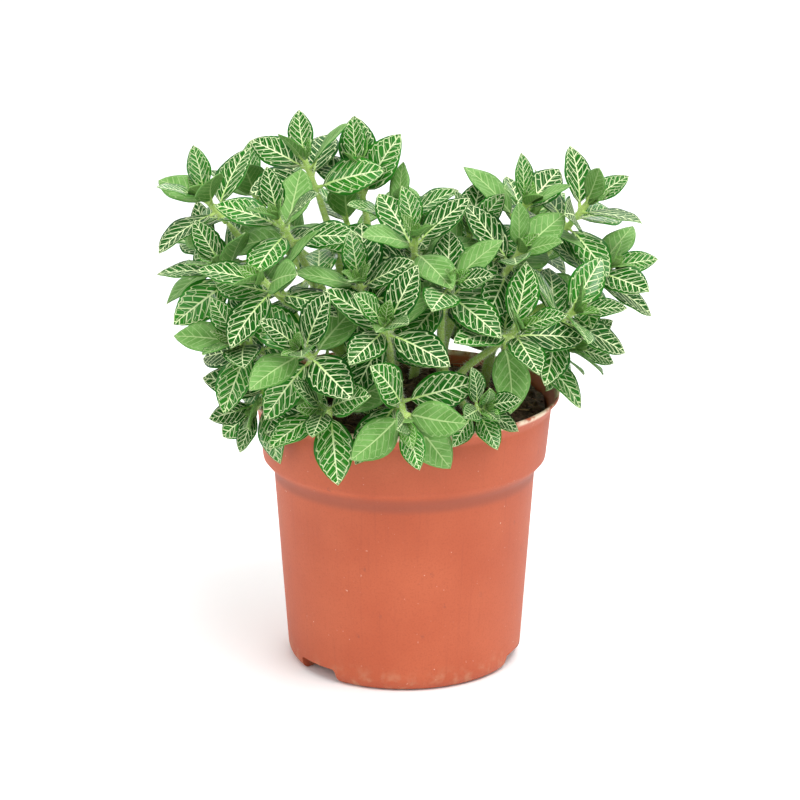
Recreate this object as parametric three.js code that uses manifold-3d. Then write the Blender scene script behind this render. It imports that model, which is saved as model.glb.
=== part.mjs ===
// A nerve plant (Fittonia) in a thin-walled nursery pot: the moulded pot, the root ball, branching
// stems planted in it, a rosette of four leaves on each shoot's tip and older leaf pairs lower down.
// Millimetres, +Z up. The origin is on the pot's axis at the surface it stands on; -Y is the front.
import * as THREE from "three";
import { mergeVertices } from "three/addons/utils/BufferGeometryUtils.js";
import Module from "manifold-3d";

const wasm = await Module();
wasm.setup();

// ---- Driving dimensions ------------------------------------------------------------------------

const pot = {
  height: 107,
  wall: 1.2,
  lipRadius: 60,
  lipEdge: 1.2, // height of the lip's upright edge
  lipHeight: 6, // over which the band flares out to the lip
  flare: 3.2, // how much narrower than the lip the band is at its top
  bandTaper: 1.8,
  bandHeight: 25,
  stepHeight: 5, // sloping underside of the band
  stepIn: 4.2,
  wallTaper: 4.8,
  heelHeight: 6, // rounded corner above the foot ring
  heelIn: 3.6,
  footWidth: 2.4,
  floorRise: 3,
  floorThickness: 1.5,
  segments: 36,
};

const slot = {
  count: 3,
  span: 29, // degrees of the pot's circumference
  height: 5.5,
  inset: 1.2, // how far the cut reaches into the floor, inside the foot ring
  first: 222, // degrees from +X to the first slot's middle
};

const drain = { count: 6, radius: 3.2, pitchRadius: 25 };

const soil = {
  clearance: 0.3,
  drop: 5, // from the lip down to the soil at the wall
  mound: 4,
  clod: 0.7, // height of the lumps on top
  segments: 18,
};

const stem = {
  depth: 12, // planted length, below the soil at the wall
  baseRadius: 2.3,
  forkRadius: 1.7,
  tipRadius: 1.25,
  sides: 5,
  steps: 6,
  clearance: 0.5, // around the stem, in the soil and in a leaf pair's collar
};

const leaf = {
  length: 27.5,
  aspect: 0.56, // width over blade length
  thickness: 0.8, // at the midrib's keel
  petiole: 3.2,
  petioleRadius: 0.7,
  fold: 0.2, // rise of the edges over half the width
  gap: 0.9, // least distance kept from other pieces
};

// A shoot's tip: a short stalk that carries crossed pairs of leaves, the oldest at its foot.
const crown = {
  stalk: 14,
  radius: 1.3,
  pairs: [ // height up the stalk, degrees from the stalk, size, droop of the tip over the length
    { height: 1.7, splay: 82, size: 1, arch: 0.22 },
    { height: 5.6, splay: 68, size: 1, arch: 0.18 },
    { height: 9.4, splay: 50, size: 0.9, arch: 0.14 },
    { height: 12.6, splay: 28, size: 0.66, arch: 0.1 },
  ],
};

// Older leaves lower down: crossed pairs on a collar that the stem passes through.
const whorl = {
  collar: 6,
  wall: 1,
  pairs: [
    { height: 1.5, splay: 80, size: 1, arch: 0.24 },
    { height: 4.5, splay: 68, size: 1, arch: 0.2 },
  ],
};

const sitGap = 0.3; // between pieces that rest end to end

// Stems: foot on the soil, share of the way at which side shoots leave, and the shoots. A shoot has
// its tip (x, y and height above the pot's lip), a twist of its leaves in degrees and, where it
// has them, the place of its older leaves (share of its way up), how far its leaves open and their
// size compared with other shoots', and a direction of its own.
const stems = [
  { name: "front_left", foot: [-18, -24], fork: 0.3, shoots: [
    { tip: [-47, -26, 74], twist: 20, older: 0.74 },
    { tip: [-38, -62, 34], twist: 60, older: 0.74 },
    { tip: [-62, -42, 32], twist: 15, older: 0.76 },
    { tip: [-52, -46, 56], twist: 0 },
  ] },
  { name: "left", foot: [-30, -6], fork: 0.3, shoots: [
    { tip: [-76, -2, 77], twist: 20, older: 0.8 },
    { tip: [-69, -22, 55], twist: 40 },
  ] },
  { name: "back_left", foot: [-20, 12], fork: 0.34, shoots: [
    { tip: [-38, 8, 89], twist: 50 },
    { tip: [-76, 30, 49], twist: 30, older: 0.78 },
    { tip: [-60, 36, 71], twist: 30 },
  ] },
  { name: "middle", foot: [-6, -6], fork: 0.36, shoots: [
    { tip: [-18, 8, 86], twist: 45, open: 0.4 },
    { tip: [-17, -38, 53], twist: 10, older: 0.74 },
    { tip: [4, -30, 68], twist: 25 },
    { tip: [-2, 0, 70], twist: 0 },
  ] },
  { name: "front", foot: [-4, -34], fork: 0.24, shoots: [
    { tip: [-7, -58, 42], twist: 60 },
    { tip: [-30, -61, 11], twist: 20 },
    { tip: [0, -66, 8], twist: 20, lean: [0.1, -0.9, -0.3] },
  ] },
  { name: "rim_left", foot: [-36, -16], fork: 0.3, shoots: [
    { tip: [-56, -37, 4], twist: 30, open: 0.85, size: 0.9, lean: [-0.7, -0.5, -0.5] },
  ] },
  { name: "front_right", foot: [18, -28], fork: 0.3, shoots: [
    { tip: [17, -42, 54], twist: 30 },
    { tip: [42, -44, 37], twist: 75 },
    { tip: [29, -60, 11], twist: 10, open: 0.7, size: 0.6 },
  ] },
  { name: "right", foot: [34, -12], fork: 0.4, shoots: [
    { tip: [64, -24, 38], twist: 40, older: 0.76 },
    { tip: [43, -24, 61], twist: 15 },
    { tip: [66, 6, 16], twist: 15, size: 0.9, lean: [0.95, 0, 0.1] },
  ] },
  { name: "centre_right", foot: [14, 4], fork: 0.4, shoots: [
    { tip: [25, -8, 64], twist: 50, older: 0.78 },
    { tip: [46, -2, 74], twist: 5 },
  ] },
  { name: "back_right", foot: [30, 14], fork: 0.34, shoots: [
    { tip: [70, 8, 72], twist: 60, older: 0.76 },
    { tip: [77, -2, 50], twist: 20 },
    { tip: [50, 46, 58], twist: 20 },
  ] },
  { name: "back_middle", foot: [2, 20], fork: 0.4, shoots: [
    { tip: [20, 54, 46], twist: 20, older: 0.74 },
    { tip: [-24, 52, 58], twist: 65, older: 0.76 },
    { tip: [8, 26, 56], twist: 35 },
  ] },
  { name: "back", foot: [-4, 38], fork: 0.3, shoots: [
    { tip: [-6, 76, 33], twist: 35, older: 0.72 },
    { tip: [-46, 68, 37], twist: 80 },
    { tip: [44, 70, 33], twist: 10 },
  ] },
];

// ---- Materials ---------------------------------------------------------------------------------

const plastic = new THREE.MeshStandardMaterial({ color: 0xc65f42, roughness: 0.55, metalness: 0 });
const peat = new THREE.MeshStandardMaterial({ color: 0x3d2a20, roughness: 0.95, metalness: 0 });
const bark = new THREE.MeshStandardMaterial({ color: 0x9dbb62, roughness: 0.6, metalness: 0 });
const blade = new THREE.MeshStandardMaterial({ color: 0x2c7a35, roughness: 0.4, metalness: 0 });

// ---- Solids and meshes -------------------------------------------------------------------------

const rad = THREE.MathUtils.degToRad;
const lerp = THREE.MathUtils.lerp;
const up = new THREE.Vector3(0, 0, 1);

// A closed three.js geometry as a solid that can be joined and cut.
function solidOf(geometry) {
  const bare = geometry.index ? geometry.toNonIndexed() : geometry.clone();
  bare.deleteAttribute("normal");
  bare.deleteAttribute("uv");
  const merged = mergeVertices(bare, 1e-4);
  return new wasm.Manifold(new wasm.Mesh({
    numProp: 3,
    vertProperties: merged.attributes.position.array,
    triVerts: new Uint32Array(merged.index.array),
  }));
}

function geometryOf(solid) {
  const mesh = solid.getMesh();
  return new THREE.BufferGeometry()
    .setAttribute("position", new THREE.BufferAttribute(new Float32Array(mesh.vertProperties), 3))
    .setIndex(new THREE.BufferAttribute(new Uint32Array(mesh.triVerts), 1));
}

function piece(name, solid, material) {
  const mesh = new THREE.Mesh(geometryOf(solid), material);
  mesh.name = name;
  mesh.geometry.computeVertexNormals();
  return mesh;
}

// Moves each vertex of a geometry to where place(vertex) puts it.
function reshape(geometry, place) {
  const at = geometry.attributes.position;
  const vertex = new THREE.Vector3();
  for (let i = 0; i < at.count; i++) {
    const moved = place(vertex.fromBufferAttribute(at, i));
    at.setXYZ(i, moved.x, moved.y, moved.z);
  }
  return geometry;
}

// A solid of revolution about Z from [radius, height] points.
function turned(points, segments) {
  const profile = points.map(([r, z]) => new THREE.Vector2(r, z));
  return solidOf(new THREE.LatheGeometry(profile, segments).rotateX(Math.PI / 2));
}

// A cylinder of length height that starts at a point and runs along a direction.
function peg(radius, height, sides, start, direction) {
  const turn = new THREE.Quaternion().setFromUnitVectors(up, direction);
  return solidOf(new THREE.CylinderGeometry(radius, radius, height, sides)
    .rotateX(Math.PI / 2)
    .translate(0, 0, height / 2)
    .applyQuaternion(turn)
    .translate(start.x, start.y, start.z));
}

// ---- Pot ---------------------------------------------------------------------------------------

const bandTop = pot.lipRadius - pot.flare;
const bandFoot = bandTop - pot.bandTaper;
const wallTop = bandFoot - pot.stepIn;
const wallFoot = wallTop - pot.wallTaper;
const footRadius = wallFoot - pot.heelIn;
const stepTop = pot.height - pot.bandHeight;
const stepFoot = stepTop - pot.stepHeight;
const flareFoot = pot.height - pot.lipHeight;
const floorTop = pot.floorRise + pot.floorThickness;

// The pot's outside from heel to lip, as [radius, height].
const outside = [
  [wallFoot, pot.heelHeight],
  [wallTop, stepFoot],
  [bandFoot, stepTop],
  [bandTop, flareFoot],
  [lerp(bandTop, pot.lipRadius, 0.4), lerp(flareFoot, pot.height, 0.5)],
  [pot.lipRadius, pot.height - pot.lipEdge],
];

function heel(inset) {
  const steps = 3;
  const points = [];
  for (let i = 0; i <= steps; i++) {
    const turn = (i / steps) * Math.PI / 2;
    const reach = pot.heelIn * Math.sin(turn);
    const rise = pot.heelHeight * (1 - Math.cos(turn));
    points.push([footRadius - inset + reach, rise]);
  }
  return points;
}

function makePot() {
  const inner = outside.map(([r, z]) => [r - pot.wall, z]).reverse().slice(1);
  const innerHeel = heel(pot.wall).filter(([, z]) => z > floorTop && z < pot.heelHeight).reverse();
  const shell = turned([
    [0, pot.floorRise],
    [footRadius - pot.footWidth, pot.floorRise],
    [footRadius - pot.footWidth, 0],
    ...heel(0),
    ...outside.slice(1),
    [pot.lipRadius, pot.height],
    [pot.lipRadius - pot.wall, pot.height],
    ...inner,
    ...innerHeel,
    [footRadius - pot.wall, floorTop],
    [0, floorTop],
  ], pot.segments);
  let moulded = shell;
  for (let i = 0; i < slot.count; i++)
    moulded = moulded.subtract(slotCut(rad(slot.first + (360 / slot.count) * i)));
  for (let i = 0; i < drain.count; i++) {
    const turn = (2 * Math.PI * i) / drain.count;
    const at = new THREE.Vector3(Math.cos(turn), Math.sin(turn), 0).multiplyScalar(drain.pitchRadius);
    moulded = moulded.subtract(peg(drain.radius, 2 * floorTop, 12, at, up));
  }
  return moulded;
}

// The wedge that opens the foot ring, heel and floor edge at one drainage slot.
function slotCut(middle) {
  const half = rad(slot.span / 2);
  const inner = footRadius - pot.footWidth - slot.inset;
  const wedge = new THREE.Shape();
  wedge.absarc(0, 0, pot.lipRadius, middle - half, middle + half, false);
  wedge.absarc(0, 0, inner, middle + half, middle - half, true);
  const depth = slot.height + 1;
  return solidOf(new THREE.ExtrudeGeometry(wedge, { depth, bevelEnabled: false, curveSegments: 6 })
    .translate(0, 0, -1));
}

// ---- Soil --------------------------------------------------------------------------------------

const soilAtWall = pot.height - soil.drop;

// Height of the soil at a place, mounded towards the middle.
function soilTop(x, y) {
  const reach = Math.min(1, Math.hypot(x, y) / (bandTop - pot.wall));
  const lumps = Math.sin(x * 0.31 + 1.3) * Math.sin(y * 0.27) + Math.sin(x * 0.13 - y * 0.21);
  return soilAtWall + soil.mound * (1 - reach * reach) + soil.clod * lumps * (1 - reach ** 4);
}

function makeRootBall(holes) {
  const inset = pot.wall + soil.clearance;
  const seat = floorTop + soil.clearance;
  const atRim = bandTop - inset;
  const rings = [0.8, 0.55, 0.3].map((share) => [atRim * share, soilAtWall]);
  const heelSide = heel(inset).filter(([, z]) => z > seat && z < pot.heelHeight);
  const profile = [
    [0, seat],
    [footRadius - inset, seat],
    ...heelSide,
    ...outside.slice(0, 4).map(([r, z]) => [r - inset, z]),
    [atRim, soilAtWall],
    ...rings,
    [0, soilAtWall],
  ].map(([r, z]) => new THREE.Vector2(r, z));
  const turnedBall = new THREE.LatheGeometry(profile, soil.segments).rotateX(Math.PI / 2);
  const mounded = reshape(turnedBall, (v) => (
    v.z > soilAtWall - 1e-3 && Math.hypot(v.x, v.y) < atRim - 1e-3 ? v.setZ(soilTop(v.x, v.y)) : v
  ));
  return holes.reduce((ball, hole) => ball.subtract(hole), solidOf(mounded));
}

// ---- Stems -------------------------------------------------------------------------------------

// A closed round tube along a curve, its radius running from one value to another.
function taperedTube(curve, fromRadius, toRadius, sides, steps) {
  const frames = curve.computeFrenetFrames(steps);
  return solidOf(reshape(new THREE.CylinderGeometry(1, 1, 1, sides, steps), (v) => {
    const share = v.y + 0.5;
    const i = Math.round(share * steps);
    const radius = lerp(fromRadius, toRadius, share);
    const [across, along] = [v.x * radius, -v.z * radius];
    return curve.getPointAt(share)
      .addScaledVector(frames.normals[i], across)
      .addScaledVector(frames.binormals[i], along);
  }));
}

const tipOf = ([x, y, rise]) => new THREE.Vector3(x, y, pot.height + rise);

// A shoot leans away from the plant's heart, the lower ones more so.
function leanOf({ tip, lean }) {
  if (lean) return new THREE.Vector3(...lean).normalize();
  const heart = new THREE.Vector3(0, 22, pot.height - 20);
  return tipOf(tip).sub(heart).normalize();
}

function curveTo(start, heading, shoot) {
  const { tip } = shoot;
  const lean = leanOf(shoot);
  const end = tipOf(tip).addScaledVector(lean, -crown.stalk - sitGap);
  const reach = start.distanceTo(end) * 0.38;
  return new THREE.CubicBezierCurve3(
    start,
    start.clone().addScaledVector(heading, reach),
    end.clone().addScaledVector(lean, -reach),
    end,
  );
}

// One curve for each of a stem's shoots: the first from the foot, the others from forks along it.
function growStem({ foot, fork, shoots }) {
  const start = new THREE.Vector3(...foot, soilAtWall - stem.depth);
  const main = curveTo(start, up, shoots[0]);
  return shoots.map((shoot, i) => {
    if (i === 0) return { ...shoot, curve: main, thickness: stem.baseRadius };
    const share = fork + 0.12 * (i - 1);
    const curve = curveTo(main.getPointAt(share), main.getTangentAt(share), shoot);
    return { ...shoot, curve, thickness: stem.forkRadius };
  });
}

// The place and direction of a stem, which is a row of straight lengths, at a share of its way.
function onTube(curve, share) {
  const step = Math.min(Math.floor(share * stem.steps), stem.steps - 1);
  const [from, to] = [step, step + 1].map((i) => curve.getPointAt(i / stem.steps));
  const axis = to.clone().sub(from).normalize();
  return { at: from.lerp(to, share * stem.steps - step), axis };
}

const tubeOf = ({ curve, thickness }, spare) => (
  taperedTube(curve, thickness + spare, stem.tipRadius + spare, stem.sides, stem.steps)
);

// ---- Leaves ------------------------------------------------------------------------------------

// Half the blade's width at a share u of its length, over the half width at its widest.
const outline = (u) => Math.sin(Math.PI * u ** 0.88) ** 0.8;

const bladeStations = [0.14, 0.46, 0.8];

// A leaf's frame: base, direction along the midrib, sideways, and towards its upper side.
function leafFrame(base, along, facing, roll) {
  const side = new THREE.Vector3().crossVectors(facing, along).normalize()
    .applyAxisAngle(along, roll);
  return { base, along, side, upper: new THREE.Vector3().crossVectors(along, side) };
}

// The point at share u of the blade and v across it, from -1 to 1, on the leaf's upper side.
function bladePoint({ frame, length, arch }, u, v) {
  const half = 0.5 * leaf.aspect * length * outline(u);
  const rise = leaf.fold * Math.abs(v) * half - arch * length * u * u;
  return frame.base.clone()
    .addScaledVector(frame.along, leaf.petiole + length * u * (1 - 0.5 * arch * u))
    .addScaledVector(frame.side, v * half)
    .addScaledVector(frame.upper, rise);
}

// A leaf with its petiole, lofted through diamond sections: two edges, upper midrib and keel.
function leafSolid(shape) {
  const { base, side, upper } = shape.frame;
  const rows = bladeStations.length + 1; // from the petiole's foot to the blade's tip
  return solidOf(reshape(new THREE.ConeGeometry(1, 1, 4, rows), (v) => {
    const row = Math.round((v.y + 0.5) * rows);
    const radius = 1 - row / rows;
    const [across, above] = radius ? [-v.x / radius, v.z / radius] : [0, 0];
    if (row === 0) return base.clone()
      .addScaledVector(side, across * leaf.petioleRadius)
      .addScaledVector(upper, above * leaf.petioleRadius);
    const u = row === rows ? 1 : bladeStations[row - 1];
    const keel = above < -0.5 ? leaf.thickness : 0;
    return bladePoint(shape, u, across).addScaledVector(upper, -keel);
  }));
}

// ---- Room between the leaves -------------------------------------------------------------------

const light = new THREE.Vector3(0.05, -0.35, 0.6); // which way, and how much, leaves turn to it
const settled = [];
const woodPoints = [];

// Points spread over a blade, no further apart on a long leaf than on a short one.
const probeStep = 3.9;
const [rows, columns] = [leaf.length, leaf.aspect * leaf.length]
  .map((size) => Math.ceil(size / probeStep));
const probes = Array.from({ length: rows }, (_, i) => (0.96 * (i + 0.5)) / rows)
  .flatMap((u) => Array.from({ length: columns + 1 }, (_, j) => [u, (2 * j) / columns - 1]));
probes.push([0, 0], [1, 0]);
const outerProbes = probes.filter(([u]) => u >= 0.299);
const pointsOf = (shape, places) => places.map(([u, v]) => bladePoint(shape, u, v));

// True if a point keeps its distance from a leaf, which is thin but bent.
function clearOfLeaf(point, { frame, length, arch }, gap) {
  const from = point.clone().sub(frame.base);
  const along = from.dot(frame.along) - leaf.petiole;
  const stretch = length * (1 - 0.5 * arch);
  if (along < -gap - leaf.petiole || along > stretch + gap) return true;
  const u = THREE.MathUtils.clamp(along / stretch, 0, 1);
  const half = 0.5 * leaf.aspect * length * outline(u) + leaf.petioleRadius;
  const across = Math.abs(from.dot(frame.side));
  if (across > half + gap) return true;
  const rise = leaf.fold * across - arch * length * u * u - 0.5 * leaf.thickness;
  return Math.abs(from.dot(frame.upper) - rise) > gap + 0.5 * leaf.thickness;
}

// True if a point keeps its distance from the pot and from the soil.
function clearOfPot(point) {
  const reach = Math.hypot(point.x, point.y);
  if (reach > pot.lipRadius + leaf.gap) return true;
  if (reach > bandTop - pot.wall - leaf.gap) return point.z > pot.height + leaf.gap;
  return point.z > soilTop(point.x, point.y) + leaf.gap + soil.clod;
}

const apart = (points, other, gap) => points.every((point) => clearOfLeaf(point, other, gap));

function isFree(shape) {
  const points = pointsOf(shape, probes);
  const outer = pointsOf(shape, outerProbes);
  const { base, along } = shape.frame;
  points.push(base.clone().addScaledVector(along, 0.6 * leaf.petiole));
  if (!points.every(clearOfPot)) return false;
  const near = settled.filter(({ frame, length }) => (
    frame.base.distanceTo(shape.frame.base) < length + shape.length + 3 * leaf.petiole
  ));
  return near.every((other) => (other.owner === shape.owner
    ? apart(outer, other, 0.5 * leaf.gap) && apart(other.outer, shape, 0.5 * leaf.gap)
    : apart(points, other, leaf.gap) && apart(other.points, shape, leaf.gap)
  )) && woodPoints.every(({ at, radius, owner }) => (
    (owner === shape.owner && at.distanceTo(shape.frame.base) < 0.4 * shape.length)
    || clearOfLeaf(at, shape, radius + 0.8)
  ));
}

const turnTries = [0, 12, -12, 24, -24, 38, -38];
const splayTries = [0, 9, -9, 18, -18, 28, -28];
const rollTries = [0, 20, -20, 40, -40];
const sizeTries = [1, 0.86, 0.72, 0.58];

// The leaf turned about its stalk and on itself until it has room, and smaller only if it must be.
// Where none fits there is no leaf.
function settle({ owner, foot, axis, turn, splay, length, arch, reach }) {
  const level = new THREE.Vector3().crossVectors(up, axis).normalize();
  const ahead = new THREE.Vector3().crossVectors(axis, level);
  for (const size of sizeTries)
    for (const opening of splayTries)
      for (const twist of turnTries)
        for (const roll of rollTries) {
          const [phi, theta] = [rad(turn + twist), rad(splay + opening)];
          const outward = level.clone().multiplyScalar(Math.cos(phi))
            .addScaledVector(ahead, Math.sin(phi));
          const along = axis.clone().multiplyScalar(Math.cos(theta))
            .addScaledVector(outward, Math.sin(theta));
          const facing = axis.clone().add(light);
          const base = foot.clone().addScaledVector(outward, reach);
          const frame = leafFrame(base, along, facing, rad(roll));
          const shape = { owner, frame, length: length * size, arch };
          if (!isFree(shape)) continue;
          shape.points = pointsOf(shape, probes);
          shape.outer = pointsOf(shape, outerProbes);
          settled.push(shape);
          return [leafSolid(shape)];
        }
  return [];
}

// Crossed pairs of leaves along a stalk that starts at a foot.
function crossedPairs({ owner, foot, axis, twist, pairs, open = 1, size: share = 1, reach }) {
  return pairs.flatMap(({ height, splay, size, arch }, i) => [0, 180].flatMap((half) => settle({
    owner,
    foot: foot.clone().addScaledVector(axis, height),
    axis,
    turn: twist + half + 90 * i,
    splay: splay * open,
    length: leaf.length * size * share,
    arch,
    reach,
  })));
}

function makeCrown(owner, { curve, twist, open, size }) {
  const axis = curve.getTangentAt(1);
  const foot = curve.getPointAt(1).addScaledVector(axis, sitGap);
  const reach = 0.3 * crown.radius;
  const leaves = crossedPairs({ owner, foot, axis, twist, pairs: crown.pairs, open, size, reach });
  const stalk = peg(crown.radius, crown.stalk, 6, foot, axis);
  return leaves.reduce((whole, one) => whole.add(one), stalk);
}

// The bore through a whorl's collar and the collar's outer radius.
function collarOf({ older, thickness }) {
  const bore = lerp(thickness, stem.tipRadius, older) + stem.clearance;
  return { bore, outer: bore + whorl.wall };
}

function makeWhorl(owner, shoot) {
  const { at, axis } = onTube(shoot.curve, shoot.older);
  const { bore, outer } = collarOf(shoot);
  const foot = at.addScaledVector(axis, -0.5 * whorl.collar);
  const reach = bore + 0.5 * whorl.wall;
  const twist = shoot.twist + 45;
  const leaves = crossedPairs({ owner, foot, axis, twist, pairs: whorl.pairs, reach });
  const collar = peg(outer, whorl.collar, 8, foot, axis);
  const start = foot.clone().addScaledVector(axis, -whorl.collar);
  const drill = peg(bore, 3 * whorl.collar, 8, start, axis);
  return leaves.reduce((whole, one) => whole.add(one), collar).subtract(drill);
}

// ---- Assembly ----------------------------------------------------------------------------------

const number = (n) => String(n).padStart(2, "0");
const grown = stems.map((one) => ({ name: one.name, shoots: growStem(one) }));
const shoots = grown.flatMap((one) => one.shoots)
  .map((shoot, i) => ({ ...shoot, crown: `shoot_tip_${number(i + 1)}` }));
const bearers = shoots.filter(({ older }) => older)
  .map((shoot, i) => ({ ...shoot, whorl: `older_leaves_${number(i + 1)}` }));

// What the leaves keep clear of: stems, stalks and collars, as balls along them.
for (const { curve, thickness, crown: owner } of shoots) {
  const count = Math.ceil(curve.getLength() / 3);
  for (let i = 0; i <= count; i++) {
    const radius = lerp(thickness, stem.tipRadius, i / count);
    woodPoints.push({ at: onTube(curve, i / count).at, radius, owner });
  }
  const axis = curve.getTangentAt(1);
  for (let height = 1; height <= crown.stalk; height += 2) {
    const at = curve.getPointAt(1).addScaledVector(axis, height);
    woodPoints.push({ at, radius: crown.radius, owner });
  }
}
for (const shoot of bearers) {
  const { at: middle, axis } = onTube(shoot.curve, shoot.older);
  for (const share of [-0.5, 0, 0.5]) {
    const at = middle.clone().addScaledVector(axis, share * whorl.collar);
    woodPoints.push({ at, radius: collarOf(shoot).outer, owner: shoot.whorl });
  }
}

const plant = new THREE.Group();
const sockets = grown.map((one) => tubeOf(one.shoots[0], stem.clearance));
plant.add(piece("pot", makePot(), plastic));
plant.add(piece("root_ball", makeRootBall(sockets), peat));
for (const one of grown) {
  const branches = one.shoots.map((shoot) => tubeOf(shoot, 0));
  plant.add(piece(`stem_${one.name}`, branches.reduce((whole, tube) => whole.add(tube)), bark));
}
for (const shoot of shoots) plant.add(piece(shoot.crown, makeCrown(shoot.crown, shoot), blade));
for (const shoot of bearers) plant.add(piece(shoot.whorl, makeWhorl(shoot.whorl, shoot), blade));

// The origin is under the middle of the whole plant's outline.
const middle = new THREE.Box3().setFromObject(plant).getCenter(new THREE.Vector3());
plant.position.set(-middle.x, -middle.y, 0);

export default plant;
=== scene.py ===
"""A nerve plant in a plastic nursery pot: its looks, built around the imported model.

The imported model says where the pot, root ball, stems and every single leaf lie. Each of them is
modelled again here at full detail, in the same place, and dressed with procedural finishes.
Lengths are metres, Z is up and -Y is the front.
"""

from __future__ import annotations

import logging
import math
import random
from contextlib import contextmanager
from dataclasses import dataclass, field
from enum import Enum
from typing import Callable, Iterable, Iterator, Mapping, Sequence

import bmesh
import bpy
from mathutils import Matrix, Quaternion, Vector, noise
from mathutils.bvhtree import BVHTree

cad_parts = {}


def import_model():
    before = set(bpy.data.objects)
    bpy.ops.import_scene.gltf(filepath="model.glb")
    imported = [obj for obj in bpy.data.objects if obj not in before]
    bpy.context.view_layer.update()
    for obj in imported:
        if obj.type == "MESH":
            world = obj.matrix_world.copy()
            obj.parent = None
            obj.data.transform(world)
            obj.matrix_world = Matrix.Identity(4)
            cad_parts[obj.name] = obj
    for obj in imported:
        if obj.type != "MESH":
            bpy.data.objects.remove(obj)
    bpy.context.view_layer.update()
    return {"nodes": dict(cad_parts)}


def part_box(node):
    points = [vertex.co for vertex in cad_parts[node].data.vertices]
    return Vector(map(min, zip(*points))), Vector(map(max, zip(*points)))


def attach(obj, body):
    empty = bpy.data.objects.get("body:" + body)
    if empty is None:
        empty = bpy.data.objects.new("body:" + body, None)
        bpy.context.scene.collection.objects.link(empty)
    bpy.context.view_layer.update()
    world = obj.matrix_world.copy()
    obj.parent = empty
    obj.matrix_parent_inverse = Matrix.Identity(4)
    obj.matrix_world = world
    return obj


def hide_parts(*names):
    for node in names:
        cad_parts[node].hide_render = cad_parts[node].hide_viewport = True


MM = 0.001
SOIL_DROP = 5.0 * MM  # from the pot's lip down to the soil at the wall
BLADE_ASPECT = 0.56  # a leaf blade's greatest width as a share of its length
BLADE_BEND = 0.88  # under one, the widest place is nearer the base
BLADE_FULLNESS = 0.8  # under one, the blade's ends are rounder
LOG = logging.getLogger("nerve_plant")
Colour = tuple[float, float, float]


# ---- Working on meshes ---------------------------------------------------------------------------


def deselect_all() -> None:
    """Leaves nothing selected."""
    bpy.ops.object.select_all(action="DESELECT")


def activate(*objects: bpy.types.Object) -> None:
    """Selects only these objects and makes the first one active.

    Args:
        objects: What to select.
    """
    deselect_all()
    for one in objects:
        one.select_set(True)
    bpy.context.view_layer.objects.active = objects[0]


@contextmanager
def editing(obj: bpy.types.Object) -> Iterator[None]:
    """Works on one object in edit mode.

    Args:
        obj: The mesh object to edit.
    """
    activate(obj)
    bpy.ops.object.mode_set(mode="EDIT")
    yield
    bpy.ops.object.mode_set(mode="OBJECT")


def apply_modifier(obj: bpy.types.Object, kind: str, **settings: object) -> None:
    """Adds a modifier to an object and applies it.

    Args:
        obj: The object to change.
        kind: The modifier's type.
        settings: Values of its properties.
    """
    activate(obj)
    modifier = obj.modifiers.new(kind.title(), kind)
    for key, value in settings.items():
        setattr(modifier, key, value)
    bpy.ops.object.modifier_apply(modifier=modifier.name)


def settle_in_place(obj: bpy.types.Object) -> None:
    """Moves an object's place into its mesh, so that its object sits at the origin."""
    activate(obj)
    bpy.ops.object.transform_apply(location=True, rotation=True, scale=True)


def join(objects: Sequence[bpy.types.Object], name: str) -> bpy.types.Object:
    """Joins objects into the first one.

    Args:
        objects: Mesh objects, at least one.
        name: Name of the result.

    Returns:
        The joined object.
    """
    activate(*objects)
    if len(objects) > 1:
        bpy.ops.object.join()
    objects[0].name = name
    objects[0].data.name = name
    return objects[0]


def object_of(shape: bmesh.types.BMesh, name: str) -> bpy.types.Object:
    """Turns a bmesh into an object in the scene.

    Args:
        shape: The bmesh, which is freed.
        name: Name of the object.

    Returns:
        The new object.
    """
    mesh = bpy.data.meshes.new(name)
    shape.to_mesh(mesh)
    shape.free()
    made = bpy.data.objects.new(name, mesh)
    bpy.context.collection.objects.link(made)
    return made


def merged_copy(node: bpy.types.Object) -> bmesh.types.BMesh:
    """A CAD node's mesh with its loose triangles sewn together.

    Args:
        node: The node's object, which stays as it is.

    Returns:
        A new bmesh.
    """
    shape = bmesh.new()
    shape.from_mesh(node.data)
    bmesh.ops.remove_doubles(shape, verts=shape.verts, dist=2e-6)
    return shape


def voxel_skin(obj: bpy.types.Object, voxel: float, smoothing: int) -> None:
    """Melts an object's surfaces into one even, rounded skin.

    Args:
        obj: The object to change.
        voxel: Size of the skin's faces.
        smoothing: How many rounds of smoothing follow.
    """
    activate(obj)
    obj.data.remesh_voxel_size = voxel
    obj.data.remesh_voxel_adaptivity = 0.0
    bpy.ops.object.voxel_remesh()
    if smoothing:
        apply_modifier(obj, "SMOOTH", factor=0.5, iterations=smoothing)


def shade(obj: bpy.types.Object, degrees: float = 180.0) -> None:
    """Shades an object smooth, with creases where faces meet at more than an angle."""
    activate(obj)
    bpy.ops.object.shade_smooth_by_angle(angle=math.radians(degrees))


def slot_faces(obj: bpy.types.Object, slot: int) -> None:
    """Puts all of an object's faces in one material slot."""
    obj.data.polygons.foreach_set("material_index", [slot] * len(obj.data.polygons))


def press(obj: bpy.types.Object, shift: Callable[[Vector, Vector], Vector]) -> None:
    """Moves all of an object's vertices at once.

    Args:
        obj: The object to change.
        shift: What to add to a vertex, from its place and its normal.
    """
    vertices = obj.data.vertices
    normals = [vertex.normal.copy() for vertex in vertices]
    moved = [v.co + shift(v.co, normal) for v, normal in zip(vertices, normals)]
    vertices.foreach_set("co", [value for place in moved for value in place])
    obj.data.update()


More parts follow.
